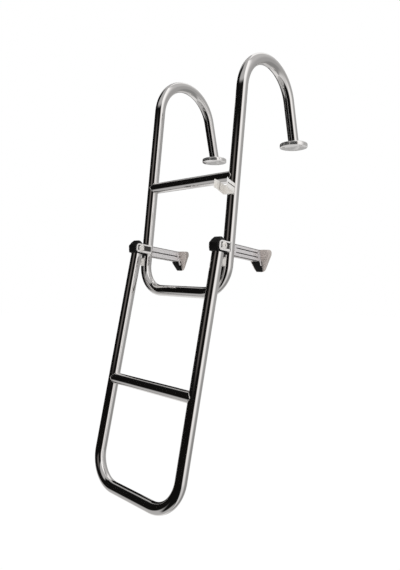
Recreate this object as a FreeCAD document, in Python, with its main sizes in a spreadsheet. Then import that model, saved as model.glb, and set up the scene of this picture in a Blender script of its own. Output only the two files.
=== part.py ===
import FreeCAD
import Part
import math
import os
import Sketcher

V = FreeCAD.Vector
Rot = FreeCAD.Rotation
Place = FreeCAD.Placement

os.makedirs("parts", exist_ok=True)
doc = FreeCAD.newDocument("boat_ladder")

# Driving sizes in millimetres and degrees

SIZES = {
    # tube and the two frames
    "tube_dia": 22.0,
    "rail_gauge": 226.0,
    "upper_rung_rise": 219.0,
    "rail_top": 389.8,
    "upper_bend": 54.0,
    "lean_angle": 6.4,
    "splay_angle": 6.4,
    "lower_rung_drop": 272.4,
    "lower_step_drop": 472.2,
    "lower_bend": 60.0,
    # hooks and deck feet
    "hook_bend": 82.0,
    "hook_turn": 159.0,
    "hook_leg": 85.0,
    "foot_dia": 59.0,
    "foot_thick": 8.5,
    "foot_edge": 2.5,
    "foot_pitch": 43.5,
    "foot_hole": 5.5,
    "hole_turn": 45.0,
    # hinge
    "hinge_height": 85.0,
    "hinge_reach": 29.4,
    "rail_setback": 1.5,
    "pin_dia": 8.0,
    "pin_play": 0.08,
    "cheek_thick": 2.5,
    "cheek_depth": 18.0,
    "cheek_nose": 11.0,
    "cheek_corner": 4.0,
    "cheek_rim": 2.0,
    "cheek_dish": 1.2,
    "inner_tail": -1.0,
    "outer_tail": 10.0,
    "head_dia": 13.4,
    "head_high": 4.5,
    "cap_play": 0.4,
    "cap_front": 16.0,
    "cap_back": 10.5,
    "cap_top": 16.0,
    "cap_foot": 12.0,
    "cap_nose": 1.5,
    "cap_chin": 11.5,
    "cap_brow": 6.4,
    "cap_brow_high": 15.2,
    "cap_crown": 1.0,
    "cap_slope": 3.7,
    "cap_slope_high": 13.2,
    "cap_nape": 4.2,
    "cap_ridge": 6.5,
    "cap_shoulder": 7.0,
    # stand-off arms and pads
    "arm_long": 77.0,
    "arm_drop": 2.5,
    "arm_high": 24.0,
    "arm_wide": 14.0,
    "arm_skin": 2.0,
    "arm_lip": 10.4,
    "arm_taper": 3.0,
    "slot_start": 9.0,
    "slot_long": 50.0,
    "slot_high": 8.0,
    "pad_wide": 52.0,
    "pad_high": 43.0,
    "pad_shoulder": 10.0,
    "pad_tip": 20.0,
    "pad_round": 6.0,
    "tip_round": 11.0,
    "pad_deep": 13.5,
    "pad_slant": 13.0,
    "plate_thick": 2.5,
    "wedge_wide": 15.0,
    "wedge_reach": 7.5,
    "wedge_drop": 18.5,
    "wedge_toe": 2.0,
    # stops and the retaining clip
    "stop_high": 17.0,
    "stop_wide": 10.0,
    "stop_drop": 27.0,
    "stop_root": 1.5,
    "stop_chin": 4.0,
    "stop_gap": 0.5,
    "clip_height": 194.5,
    "clip_high": 23.0,
    "clip_skin": 1.5,
    "clip_jaw": 24.0,
    "clip_reach": 22.0,
    "clip_flare": 2.5,
    "clip_lip": 5.0,
    "clip_taper": 8.0,
    "clip_rise": 6.0,
    # seats, and how far a trimming cut runs past the piece
    "weld_gap": 0.1,
    "trim_past": 1.0,
}

sheet = doc.addObject("Spreadsheet::Sheet", "sizes")
for row, (alias, number) in enumerate(SIZES.items(), start=1):
    sheet.set("A" + str(row), alias)
    sheet.set("B" + str(row), str(number))
    sheet.setAlias("B" + str(row), alias)
doc.recompute()


def size(alias):
    return float(sheet.get(alias))


def value_of(text):
    return float(sheet.evalExpression(text))


HALF = size("rail_gauge") / 2
LEAN = size("lean_angle")
X_AXIS = V(1, 0, 0)
Y_AXIS = V(0, 1, 0)

# Formulas used by more than one piece

TUBE_R = "sizes.tube_dia / 2"
COPE_R = "(sizes.tube_dia / 2 + sizes.weld_gap)"
SIDE = "sizes.rail_gauge / 2"
LEG_Y = "(sizes.hook_bend * (1 - cos(sizes.hook_turn)) + sizes.hook_leg * sin(sizes.hook_turn))"
LEG_Z = "(sizes.rail_top + sizes.hook_bend * sin(sizes.hook_turn) + sizes.hook_leg * cos(sizes.hook_turn))"

# The ladder is drawn with its upper rails upright and is then leaned as a whole
# The origin is the centre of the right deck foot, on the deck

lean = Rot(X_AXIS, -LEAN)
deck_up = lean.inverted().multVec(V(0, 0, 1))
foot_centre = V(HALF, value_of(LEG_Y), value_of(LEG_Z)) - deck_up * size("foot_thick")
WORLD = Place(lean.multVec(foot_centre) * -1, lean)
PIN = V(0, -size("hinge_reach"), size("hinge_height"))
LOWER = WORLD * Place(PIN, Rot(X_AXIS, -size("splay_angle")))
LOWER_RAILS = LOWER * Place(V(0, size("rail_setback"), 0), Rot())
ARM_HEIGHT = size("hinge_height") - size("arm_drop")


# Helpers for bodies and sketches

def new_body(label, placement):
    body = doc.addObject("PartDesign::Body", label)
    body.Label = label
    body.Placement = placement
    return body


def beside(side, y=0.0, z=0.0):
    return WORLD * Place(V(side * HALF, y, z), Rot())


def origin_plane(body, role):
    for feature in body.Origin.OriginFeatures:
        if feature.Role == role:
            return feature
    raise ValueError(role)


def new_sketch(body, role, offset=None, turned=None):
    sketch = body.newObject("Sketcher::SketchObject", body.Label + "_sketch")
    sketch.AttachmentSupport = [(origin_plane(body, role), "")]
    sketch.MapMode = "FlatFace"
    if turned is not None:
        sketch.AttachmentOffset = Place(V(0, 0, 0), Rot(V(0, 0, 1), value_of(turned)))
        sketch.setExpression("AttachmentOffset.Rotation.Angle", turned)
    if offset is not None:
        sketch.setExpression("AttachmentOffset.Base.z", offset)
    doc.recompute()
    return sketch


def hold(sketch, kind, refs, text):
    index = sketch.addConstraint(Sketcher.Constraint(kind, *refs, value_of(text)))
    sketch.setExpression("Constraints[" + str(index) + "]", text)
    return index


def pin_point(sketch, geo, pos, text_x, text_y):
    hold(sketch, "DistanceX", (-1, 1, geo, pos), text_x)
    hold(sketch, "DistanceY", (-1, 1, geo, pos), text_y)


def add_circle(sketch, text_x, text_y, text_radius):
    centre = V(value_of(text_x), value_of(text_y), 0)
    geo = sketch.addGeometry(Part.Circle(centre, V(0, 0, 1), value_of(text_radius)), False)
    hold(sketch, "Radius", (geo,), text_radius)
    pin_point(sketch, geo, 3, text_x, text_y)
    return geo


def add_outline(sketch, corners):
    points = [V(value_of(a), value_of(b), 0) for a, b in corners]
    count = len(points)
    geos = []
    for i in range(count):
        geos.append(sketch.addGeometry(Part.LineSegment(points[i], points[(i + 1) % count]), False))
    for i in range(count):
        sketch.addConstraint(Sketcher.Constraint("Coincident", geos[i], 2, geos[(i + 1) % count], 1))
    for geo, (a, b) in zip(geos, corners):
        pin_point(sketch, geo, 1, a, b)
    return geos


def pad(body, sketch, length, both=False, backwards=False):
    feature = body.newObject("PartDesign::Pad", body.Label + "_pad")
    feature.Profile = sketch
    feature.setExpression("Length", length)
    feature.Midplane = both
    feature.Reversed = backwards
    doc.recompute()
    return feature


def cut(body, sketch, length, both=True, backwards=False):
    before = body.Shape.Volume
    feature = body.newObject("PartDesign::Pocket", body.Label + "_pocket")
    feature.Profile = sketch
    feature.setExpression("Length", length)
    feature.Midplane = both
    feature.Reversed = backwards
    doc.recompute()
    if body.Shape.Volume > before - 1e-3:
        raise ValueError("nothing was cut from " + body.Label)
    return feature


def turn_profile(body, sketch, axis_name):
    feature = body.newObject("PartDesign::Revolution", body.Label + "_turned")
    feature.Profile = sketch
    feature.ReferenceAxis = (sketch, [axis_name])
    feature.Angle = 360
    doc.recompute()
    return feature


def edges_along(feature, axis, spots):
    names = []
    for number, edge in enumerate(feature.Shape.Edges, start=1):
        start = edge.Vertexes[0].Point
        run = edge.Vertexes[-1].Point - start
        if run.Length < 1e-6 or run.cross(axis).Length > 1e-6 * run.Length:
            continue
        if any((start - spot).cross(axis).Length < 1e-3 for spot in spots):
            names.append("Edge" + str(number))
    if len(names) < len(spots):
        raise ValueError("an edge is missing from " + feature.Label)
    return names


def dress(body, kind, names, prop, text):
    base = body.Tip
    feature = body.newObject("PartDesign::" + kind, body.Label + "_" + kind.lower())
    feature.Base = (base, names)
    feature.setExpression(prop, text)
    doc.recompute()
    return feature


# Bent tubes, a round section carried along straight runs and tangent arcs
# They are closed at every end, by a weld, a foot or a plug, and are left solid inside

def sweep(body, centre, height, path):
    profile = new_sketch(body, "XY_Plane", height)
    add_circle(profile, centre, "0", TUBE_R)
    feature = body.newObject("PartDesign::AdditivePipe", body.Label + "_pipe")
    feature.Profile = profile
    feature.Spine = path
    doc.recompute()
    return feature


def u_path(body, top, bottom, bend):
    sketch = new_sketch(body, "XZ_Plane")
    z_top = value_of(top)
    z_low = value_of(bottom)
    r = value_of(bend)
    right = sketch.addGeometry(Part.LineSegment(V(HALF, z_top, 0), V(HALF, z_low + r, 0)), False)
    circle = Part.Circle(V(HALF - r, z_low + r, 0), V(0, 0, 1), r)
    arc_a = sketch.addGeometry(Part.ArcOfCircle(circle, -math.pi / 2, 0), False)
    low = sketch.addGeometry(Part.LineSegment(V(HALF - r, z_low, 0), V(r - HALF, z_low, 0)), False)
    circle = Part.Circle(V(r - HALF, z_low + r, 0), V(0, 0, 1), r)
    arc_b = sketch.addGeometry(Part.ArcOfCircle(circle, math.pi, 1.5 * math.pi), False)
    left = sketch.addGeometry(Part.LineSegment(V(-HALF, z_low + r, 0), V(-HALF, z_top, 0)), False)
    sketch.addConstraint(Sketcher.Constraint("Tangent", right, 2, arc_a, 2))
    sketch.addConstraint(Sketcher.Constraint("Tangent", arc_a, 1, low, 1))
    sketch.addConstraint(Sketcher.Constraint("Tangent", low, 2, arc_b, 2))
    sketch.addConstraint(Sketcher.Constraint("Tangent", arc_b, 1, left, 1))
    sketch.addConstraint(Sketcher.Constraint("Vertical", right))
    sketch.addConstraint(Sketcher.Constraint("Vertical", left))
    hold(sketch, "Radius", (arc_a,), bend)
    hold(sketch, "Radius", (arc_b,), bend)
    pin_point(sketch, right, 1, SIDE, top)
    pin_point(sketch, left, 2, "-" + SIDE, top)
    hold(sketch, "DistanceY", (-1, 1, low, 1), bottom)
    return sketch


# A hook's bend and its straight leg, which runs on past the deck foot until it is trimmed

def hook_path(body, plane):
    sketch = new_sketch(body, "YZ_Plane", plane)
    r = size("hook_bend")
    z = size("rail_top")
    turn = math.radians(size("hook_turn"))
    arc_end = V(r * (1 - math.cos(turn)), z + r * math.sin(turn), 0)
    leg_long = "sizes.hook_leg + sizes.tube_dia"
    tip = arc_end + V(math.sin(turn), math.cos(turn), 0) * value_of(leg_long)
    circle = Part.Circle(V(r, z, 0), V(0, 0, 1), r)
    arc = sketch.addGeometry(Part.ArcOfCircle(circle, math.pi - turn, math.pi), False)
    leg = sketch.addGeometry(Part.LineSegment(arc_end, tip), False)
    sketch.addConstraint(Sketcher.Constraint("Tangent", arc, 1, leg, 1))
    hold(sketch, "Radius", (arc,), "sizes.hook_bend")
    pin_point(sketch, arc, 3, "sizes.hook_bend", "sizes.rail_top")
    hold(sketch, "DistanceY", (-1, 1, arc, 2), "sizes.rail_top")
    hold(sketch, "Distance", (leg,), leg_long)
    hold(sketch, "DistanceX", (-1, 1, leg, 1), "sizes.hook_bend * (1 - cos(sizes.hook_turn))")
    return sketch


# Upper frame, one tube from deck foot over the hook, down to the step and back up

upper = new_body("upper_frame_tube", WORLD)
sweep(upper, SIDE, "sizes.rail_top", u_path(upper, "sizes.rail_top", "0", "sizes.upper_bend"))
for plane in (SIDE, "-" + SIDE):
    sweep(upper, plane, "sizes.rail_top", hook_path(upper, plane))
trim = new_sketch(upper, "YZ_Plane", turned="sizes.lean_angle")
leg_across = LEG_Y + " * cos(sizes.lean_angle) + " + LEG_Z + " * sin(sizes.lean_angle)"
leg_height = LEG_Z + " * cos(sizes.lean_angle) - " + LEG_Y + " * sin(sizes.lean_angle)"
add_outline(trim, [
    (leg_across + " - sizes.foot_dia", leg_height + " - sizes.foot_dia"),
    (leg_across + " + sizes.foot_dia", leg_height + " - sizes.foot_dia"),
    (leg_across + " + sizes.foot_dia", leg_height + " + sizes.weld_gap"),
    (leg_across + " - sizes.foot_dia", leg_height + " + sizes.weld_gap"),
])
cut(upper, trim, "sizes.rail_gauge + sizes.tube_dia * 2")


# Straight rungs, coped to the rails

def make_rung(label, placement, height):
    body = new_body(label, placement)
    bar = new_sketch(body, "YZ_Plane")
    add_circle(bar, "0", height, TUBE_R)
    pad(body, bar, "sizes.rail_gauge", both=True)
    cope = new_sketch(body, "XY_Plane", height)
    add_circle(cope, SIDE, "0", COPE_R)
    add_circle(cope, "-" + SIDE, "0", COPE_R)
    cut(body, cope, "sizes.tube_dia * 2")
    return body


make_rung("upper_rung", WORLD, "sizes.upper_rung_rise")


# Round deck feet with three screw holes

def make_foot(label, side):
    body = new_body(label, Place(V(side * HALF - HALF, 0, 0), Rot()))
    sketch = new_sketch(body, "XZ_Plane")
    add_outline(sketch, [
        ("0", "0"),
        ("sizes.foot_dia / 2", "0"),
        ("sizes.foot_dia / 2", "sizes.foot_thick - sizes.foot_edge"),
        ("sizes.foot_dia / 2 - sizes.foot_edge", "sizes.foot_thick"),
        ("0", "sizes.foot_thick"),
    ])
    turn_profile(body, sketch, "V_Axis")
    holes = new_sketch(body, "XY_Plane")
    across = "-sizes.foot_pitch / 2 * sin(sizes.hole_turn)"
    along = "-sizes.foot_pitch / 2 * cos(sizes.hole_turn)"
    add_circle(holes, across, along, "sizes.foot_hole / 2")
    hole = cut(body, holes, "sizes.foot_thick * 3")
    ring = body.newObject("PartDesign::PolarPattern", label + "_holes")
    ring.Originals = [hole]
    ring.Axis = (holes, ["N_Axis"])
    ring.Angle = 360
    ring.Occurrences = 3
    body.Tip = ring
    doc.recompute()
    return body


# Hinge cheeks, a dished plate on each side of the rail
# The inner one runs back to touch the rail, the outer one turns in to it with a short flange

def make_cheeks(label, side):
    body = new_body(label, beside(side, z=size("hinge_height")))
    front = "(-sizes.hinge_reach - sizes.cheek_nose)"
    skin = "(sizes.tube_dia / 2 + sizes.weld_gap + sizes.cheek_thick)"
    flange = "(-sizes.outer_tail - sizes.cheek_thick)"
    out = "" if side > 0 else "-"
    back = "-" if side > 0 else ""
    outer_plan = [
        (out + COPE_R, front),
        (out + skin, front),
        (out + skin, "-sizes.outer_tail"),
        (out + "sizes.tube_dia / 8", "-sizes.outer_tail"),
        (out + "sizes.tube_dia / 8", flange),
        (out + COPE_R, flange),
    ]
    inner_plan = [
        (back + COPE_R, front),
        (back + skin, front),
        (back + skin, "sizes.inner_tail"),
        (back + COPE_R, "sizes.inner_tail"),
    ]
    outer = new_sketch(body, "XY_Plane")
    add_outline(outer, outer_plan)
    pad(body, outer, "sizes.cheek_depth", both=True)
    cope = new_sketch(body, "XY_Plane")
    add_circle(cope, "0", "0", COPE_R)
    cut(body, cope, "sizes.cheek_depth * 2")
    inner = new_sketch(body, "XY_Plane")
    add_outline(inner, inner_plan)
    pad(body, inner, "sizes.cheek_depth", both=True)
    nose = [V(0, value_of(front), value_of("sizes.cheek_depth / 2") * hand) for hand in (1, -1)]
    dress(body, "Chamfer", edges_along(body.Tip, X_AXIS, nose), "Size", "sizes.cheek_corner")
    bore = new_sketch(body, "YZ_Plane")
    add_circle(bore, "-sizes.hinge_reach", "0", "sizes.pin_dia / 2 + sizes.weld_gap")
    cut(body, bore, "sizes.tube_dia * 3")
    inset = "(sizes.cheek_depth / 2 - sizes.cheek_rim)"
    for sign, tail in ((out, "-sizes.outer_tail"), (back, "sizes.inner_tail")):
        dish = new_sketch(body, "YZ_Plane", sign + skin)
        add_outline(dish, [
            (front + " + sizes.cheek_rim", "-" + inset),
            (tail + " - sizes.cheek_rim", "-" + inset),
            (tail + " - sizes.cheek_rim", inset),
            (front + " + sizes.cheek_rim", inset),
        ])
        cut(body, dish, "sizes.cheek_dish", both=False, backwards=sign == "-")
    return body


# Hinge pin with a head on one end and a nut on the other

def make_pin(label, side):
    body = new_body(label, beside(side, PIN.y, PIN.z))
    sketch = new_sketch(body, "XY_Plane")
    seat = "(sizes.tube_dia / 2 + sizes.weld_gap + sizes.cheek_thick - sizes.cheek_dish)"
    top = "(" + seat + " + sizes.head_high)"
    add_outline(sketch, [
        ("-" + top, "0"),
        (top, "0"),
        (top, "sizes.head_dia / 2"),
        (seat, "sizes.head_dia / 2"),
        (seat, "sizes.pin_dia / 2"),
        ("-" + seat, "sizes.pin_dia / 2"),
        ("-" + seat, "sizes.head_dia / 2"),
        ("-" + top, "sizes.head_dia / 2"),
    ])
    turn_profile(body, sketch, "H_Axis")
    return body


# The front of each pad slants away from the end of the arm, so arm and wedge end on one slanted line

END_SLOPE = "tan(sizes.pad_slant + sizes.lean_angle)"


# Stand-off arm, a channel with deep lips and a long slot in its web

def arm_section(body, side, along, drop):
    sign = "" if side > 0 else "-"
    web = sign + "(sizes.arm_wide / 2)"
    web_in = sign + "(sizes.arm_wide / 2 - sizes.arm_skin)"
    lip = sign + "(-sizes.arm_wide / 2)"
    lip_in = sign + "(sizes.arm_skin - sizes.arm_wide / 2)"
    top = "(sizes.arm_high / 2 - " + drop + ")"
    roof = "(sizes.arm_high / 2 - sizes.arm_skin - " + drop + ")"
    brim = "(sizes.arm_high / 2 - sizes.arm_lip - " + drop + ")"
    section = new_sketch(body, "XZ_Plane", "-" + along)
    add_outline(section, [
        (web, "-sizes.arm_high / 2"),
        (web, top),
        (lip, top),
        (lip, brim),
        (lip_in, brim),
        (lip_in, roof),
        (web_in, roof),
        (web_in, "sizes.arm_skin - sizes.arm_high / 2"),
        (lip_in, "sizes.arm_skin - sizes.arm_high / 2"),
        (lip_in, "sizes.arm_lip - sizes.arm_high / 2"),
        (lip, "sizes.arm_lip - sizes.arm_high / 2"),
        (lip, "-sizes.arm_high / 2"),
    ])
    return section


def make_arm(label, side):
    body = new_body(label, beside(side, z=ARM_HEIGHT))
    high = "sizes.arm_high / 2"
    reach = "(sizes.tube_dia / 2 + sizes.arm_long)"
    long = "(" + reach + " + sizes.arm_high)"
    channel = body.newObject("PartDesign::AdditiveLoft", label + "_channel")
    channel.Profile = arm_section(body, side, "0", "0")
    channel.Sections = [arm_section(body, side, long, "sizes.arm_taper * " + long + " / " + reach)]
    channel.Ruled = True
    doc.recompute()
    cope = new_sketch(body, "XY_Plane")
    add_circle(cope, "0", "0", COPE_R)
    cut(body, cope, "sizes.arm_high * 2")
    end = new_sketch(body, "YZ_Plane")
    far = reach + " + sizes.arm_high * 2"
    above = high + " + sizes.trim_past"
    below = "-" + high + " - sizes.trim_past"
    add_outline(end, [
        (reach + " - (sizes.arm_taper + sizes.trim_past) * " + END_SLOPE, above),
        (far, above),
        (far, below),
        (reach + " + (sizes.arm_high - sizes.arm_taper + sizes.trim_past) * " + END_SLOPE, below),
    ])
    cut(body, end, "sizes.arm_wide * 2")
    slot = new_sketch(body, "YZ_Plane")
    near = "sizes.tube_dia / 2 + sizes.slot_start"
    add_outline(slot, [
        (near, "-sizes.slot_high / 2"),
        (near + " + sizes.slot_long", "-sizes.slot_high / 2"),
        (near + " + sizes.slot_long", "sizes.slot_high / 2"),
        (near, "sizes.slot_high / 2"),
    ])
    cut(body, slot, "sizes.arm_wide", both=False, backwards=side > 0)
    return body


# Pads against the hull, a shield outline with an upright back and a slanted front
# Each is a steel plate at the front and a wedge-shaped rubber behind it

def arm_end(side):
    top = ARM_HEIGHT + size("arm_high") / 2 - size("arm_taper")
    return V(side * HALF, size("tube_dia") / 2 + size("arm_long"), top)


def front_line(setback, z):
    return "(sizes.weld_gap + (" + setback + ") / cos(sizes.pad_slant) - (" + z + ") * tan(sizes.pad_slant))"


def make_shield(label, side):
    body = new_body(label, Place(WORLD.multVec(arm_end(side)), Rot()))
    sketch = new_sketch(body, "XZ_Plane")
    wide = "sizes.pad_wide / 2"
    tip = "sizes.pad_tip / 2"
    corners = [
        ("-" + wide, "0"),
        (wide, "0"),
        (wide, "-sizes.pad_shoulder"),
        (tip, "-sizes.pad_high"),
        ("-" + tip, "-sizes.pad_high"),
        ("-" + wide, "-sizes.pad_shoulder"),
    ]
    add_outline(sketch, corners)
    pad(body, sketch, "sizes.pad_deep", backwards=True)
    spots = [V(value_of(a), 0, value_of(b)) for a, b in corners]
    upper_edges = edges_along(body.Tip, Y_AXIS, spots[:3] + spots[5:])
    dress(body, "Fillet", upper_edges, "Radius", "sizes.pad_round")
    tip_edges = edges_along(body.Tip, Y_AXIS, spots[3:5])
    dress(body, "Fillet", tip_edges, "Radius", "sizes.tip_round")
    return body


def cut_slanted(body, setback, far):
    sketch = new_sketch(body, "YZ_Plane")
    above = "sizes.pad_round"
    below = "-sizes.pad_high - sizes.pad_round"
    add_outline(sketch, [
        (front_line(setback, above), above),
        (far, above),
        (far, below),
        (front_line(setback, below), below),
    ])
    cut(body, sketch, "sizes.pad_wide * 2")


def make_plate(label, side):
    body = make_shield(label, side)
    cut_slanted(body, "0", "-sizes.pad_deep")
    cut_slanted(body, "sizes.plate_thick", "sizes.pad_deep * 3")
    return body


def make_rubber(label, side):
    body = make_shield(label, side)
    cut_slanted(body, "sizes.plate_thick", "-sizes.pad_deep")
    return body


# Black wedge under the end of each arm, against the plate

def make_wedge(label, side):
    body = new_body(label, WORLD * Place(arm_end(side), Rot()))
    sketch = new_sketch(body, "YZ_Plane")
    top = "(sizes.arm_high - sizes.arm_taper + sizes.weld_gap)"
    foot = "(sizes.arm_high - sizes.arm_taper + sizes.wedge_drop)"
    add_outline(sketch, [
        ("-sizes.wedge_reach", "-" + top),
        (top + " * " + END_SLOPE, "-" + top),
        (foot + " * " + END_SLOPE, "-" + foot),
        (foot + " * " + END_SLOPE + " - sizes.wedge_toe", "-" + foot),
    ])
    pad(body, sketch, "sizes.wedge_wide", both=True)
    return body


# Stops welded to the front of the upper rails, where the lower rails come to rest

def rail_face(z):
    axis = "-sizes.hinge_reach + sizes.rail_setback * cos(sizes.splay_angle)"
    fall = "(sizes.stop_drop - (" + z + ")) * tan(sizes.splay_angle)"
    skin = "(sizes.tube_dia / 2 + sizes.stop_gap) / cos(sizes.splay_angle)"
    return axis + " - " + fall + " + " + skin


def make_stop(label, side):
    body = new_body(label, beside(side, z=size("hinge_height") - size("stop_drop")))
    sketch = new_sketch(body, "YZ_Plane")
    high = "sizes.stop_high / 2"
    nose = "(sizes.stop_high / 2 - sizes.stop_chin)"
    root = "-" + TUBE_R + " - sizes.stop_root"
    add_outline(sketch, [
        ("0", "-" + high),
        ("0", high),
        (root, high),
        (rail_face(nose), nose),
        (rail_face("-" + nose), "-" + nose),
        (root, "-" + high),
    ])
    pad(body, sketch, "sizes.stop_wide", both=True)
    cope = new_sketch(body, "XY_Plane")
    add_circle(cope, "0", "0", "sizes.tube_dia / 2 + sizes.stop_gap")
    cut(body, cope, "sizes.stop_high * 2")
    return body


# Spring clip that keeps the folded section against the right rail

def make_clip(label, side):
    body = new_body(label, beside(side, z=size("clip_height")))
    jaw = "sizes.clip_jaw / 2"
    root = "(-sizes.tube_dia / 2 - sizes.weld_gap)"
    neck = root + " - sizes.clip_reach"
    tip = neck + " - sizes.clip_lip"
    half_plan = [
        (jaw + " + sizes.clip_skin", root),
        (jaw + " + sizes.clip_skin", neck),
        (jaw + " + sizes.clip_flare + sizes.clip_skin", tip),
        (jaw + " + sizes.clip_flare", tip),
        (jaw, neck),
        (jaw, root + " - sizes.clip_skin"),
    ]
    other_half = [("-(" + x + ")", y) for x, y in reversed(half_plan)]
    plan = new_sketch(body, "XY_Plane")
    add_outline(plan, half_plan + other_half)
    pad(body, plan, "sizes.clip_high", both=True)
    taper = new_sketch(body, "YZ_Plane")
    low = "-sizes.clip_high / 2"
    add_outline(taper, [
        (root, low),
        (root, low + " - sizes.trim_past"),
        (tip + " - sizes.trim_past", low + " - sizes.trim_past"),
        (tip + " - sizes.trim_past", low + " + sizes.clip_taper"),
    ])
    cut(body, taper, "sizes.clip_jaw * 2")
    rise = new_sketch(body, "YZ_Plane")
    brim = "sizes.clip_high / 2"
    add_outline(rise, [
        (root + " + sizes.trim_past", brim + " - sizes.clip_rise"),
        (root + " + sizes.trim_past", brim + " + sizes.trim_past"),
        (tip, brim + " + sizes.trim_past"),
        (tip, brim),
    ])
    cut(body, rise, "sizes.clip_jaw * 2")
    return body


# Lower frame, which turns about the hinge pins

lower = new_body("lower_frame_tube", LOWER_RAILS)
path = u_path(lower, "-sizes.cap_foot", "-sizes.lower_step_drop", "sizes.lower_bend")
sweep(lower, SIDE, "-sizes.cap_foot", path)
make_rung("lower_rung", LOWER_RAILS, "-sizes.lower_rung_drop")


# Cap that plugs each lower rail and turns on the pin, with a low nose and sloped shoulders

def make_cap(label, side):
    body = new_body(label, LOWER * Place(V(side * HALF, 0, 0), Rot()))
    sketch = new_sketch(body, "YZ_Plane")
    add_outline(sketch, [
        ("sizes.cap_back", "-sizes.cap_foot"),
        ("sizes.cap_back", "sizes.cap_nape"),
        ("sizes.cap_slope", "sizes.cap_slope_high"),
        ("-sizes.cap_crown", "sizes.cap_top"),
        ("-sizes.cap_brow", "sizes.cap_brow_high"),
        ("-sizes.cap_front", "sizes.cap_nose"),
        ("-sizes.cap_chin", "-sizes.cap_foot"),
    ])
    add_circle(sketch, "0", "0", "sizes.pin_dia / 2 + sizes.pin_play")
    pad(body, sketch, "sizes.tube_dia - 2 * sizes.cap_play", both=True)
    above = "(sizes.cap_top + sizes.cap_foot)"
    for hand in ("", "-"):
        shoulder = new_sketch(body, "XZ_Plane")
        add_outline(shoulder, [
            (hand + TUBE_R, "sizes.cap_shoulder"),
            (hand + TUBE_R, above),
            (hand + "sizes.cap_ridge", above),
            (hand + "sizes.cap_ridge", "sizes.cap_top"),
        ])
        cut(body, shoulder, "sizes.cap_front * 3")
    return body


for side, hand in ((1, "right"), (-1, "left")):
    make_foot("deck_foot_" + hand, side)
    make_cheeks("hinge_cheeks_" + hand, side)
    make_pin("hinge_pin_" + hand, side)
    make_arm("stand_off_arm_" + hand, side)
    make_plate("pad_plate_" + hand, side)
    make_rubber("pad_rubber_" + hand, side)
    make_wedge("pad_wedge_" + hand, side)
    make_stop("fold_stop_" + hand, side)
    make_cap("hinge_cap_" + hand, side)
make_clip("retaining_clip", 1)

doc.recompute()

# Every shape is checked before it is written

for item in doc.Objects:
    if "Invalid" in item.State or "Error" in item.State:
        raise ValueError(item.Label + " has state " + str(item.State))
for item in doc.Objects:
    if item.TypeId != "PartDesign::Body":
        continue
    shape = item.Shape
    if shape.isNull() or not shape.isValid() or shape.Volume <= 0:
        raise ValueError(item.Label + " is not a sound solid")
    shape.exportStep(os.path.join("parts", item.Label + ".step"))
    print(item.Label, len(shape.Solids), round(shape.Volume))
print("foot centre", foot_centre)
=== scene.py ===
import math

import bmesh
import bpy
from mathutils import Matrix, Vector


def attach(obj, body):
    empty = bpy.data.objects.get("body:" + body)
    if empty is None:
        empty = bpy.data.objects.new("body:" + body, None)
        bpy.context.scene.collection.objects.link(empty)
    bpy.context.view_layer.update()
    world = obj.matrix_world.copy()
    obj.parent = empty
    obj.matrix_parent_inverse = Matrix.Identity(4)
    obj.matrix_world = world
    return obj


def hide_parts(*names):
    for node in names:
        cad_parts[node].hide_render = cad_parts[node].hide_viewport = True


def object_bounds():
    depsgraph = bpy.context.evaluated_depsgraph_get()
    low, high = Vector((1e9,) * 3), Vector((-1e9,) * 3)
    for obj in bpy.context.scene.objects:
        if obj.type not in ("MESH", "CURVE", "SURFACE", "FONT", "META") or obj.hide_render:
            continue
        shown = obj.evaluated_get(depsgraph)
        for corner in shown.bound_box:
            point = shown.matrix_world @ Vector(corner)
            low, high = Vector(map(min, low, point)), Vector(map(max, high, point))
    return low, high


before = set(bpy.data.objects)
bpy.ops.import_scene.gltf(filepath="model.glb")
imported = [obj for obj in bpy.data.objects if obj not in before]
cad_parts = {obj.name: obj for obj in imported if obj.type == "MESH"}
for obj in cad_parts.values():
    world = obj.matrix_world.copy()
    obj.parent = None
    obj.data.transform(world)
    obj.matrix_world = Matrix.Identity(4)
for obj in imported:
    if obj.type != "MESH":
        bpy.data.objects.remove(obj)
CAD_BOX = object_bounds()

UPPER = "upper_section"
LOWER = "lower_section"
SIDES = ((1, "right"), (-1, "left"))

X = Vector((1, 0, 0))
Y = Vector((0, 1, 0))
Z = Vector((0, 0, 1))
FULL_TURN = 2 * math.pi
QUARTER_TURN = math.pi / 2

# Sizes are in millimetres, in the frame of the upper rails: x to the right, y inboard, z up the
# rails. A profile is a list of radius and height pairs, rows are a list of inset and height pairs.

TUBE_R = 11.0
TUBE_SIDES = 72
HALF = 113.0
RAIL_TOP = 389.8
UPPER_BEND = 54.0
UPPER_RUNG = 219.0
HOOK_BEND = 82.0
HOOK_TURN = math.radians(159.0)
HOOK_LEG = 85.0
LEAN = math.radians(6.4)
SPLAY = math.radians(6.4)
FOOT_R = 29.5
FOOT_THICK = 8.5
PIN_Y = -29.4
PIN_Z = 85.0
SETBACK = 1.5
LOWER_TOP = -12.0
LOWER_RUNG = -272.4
LOWER_STEP = -472.2
LOWER_BEND = 60.0


def shift(x=0.0, y=0.0, z=0.0):
    return Matrix.Translation((x, y, z))


# Frames, each a matrix from millimetres to the model's metres

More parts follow.
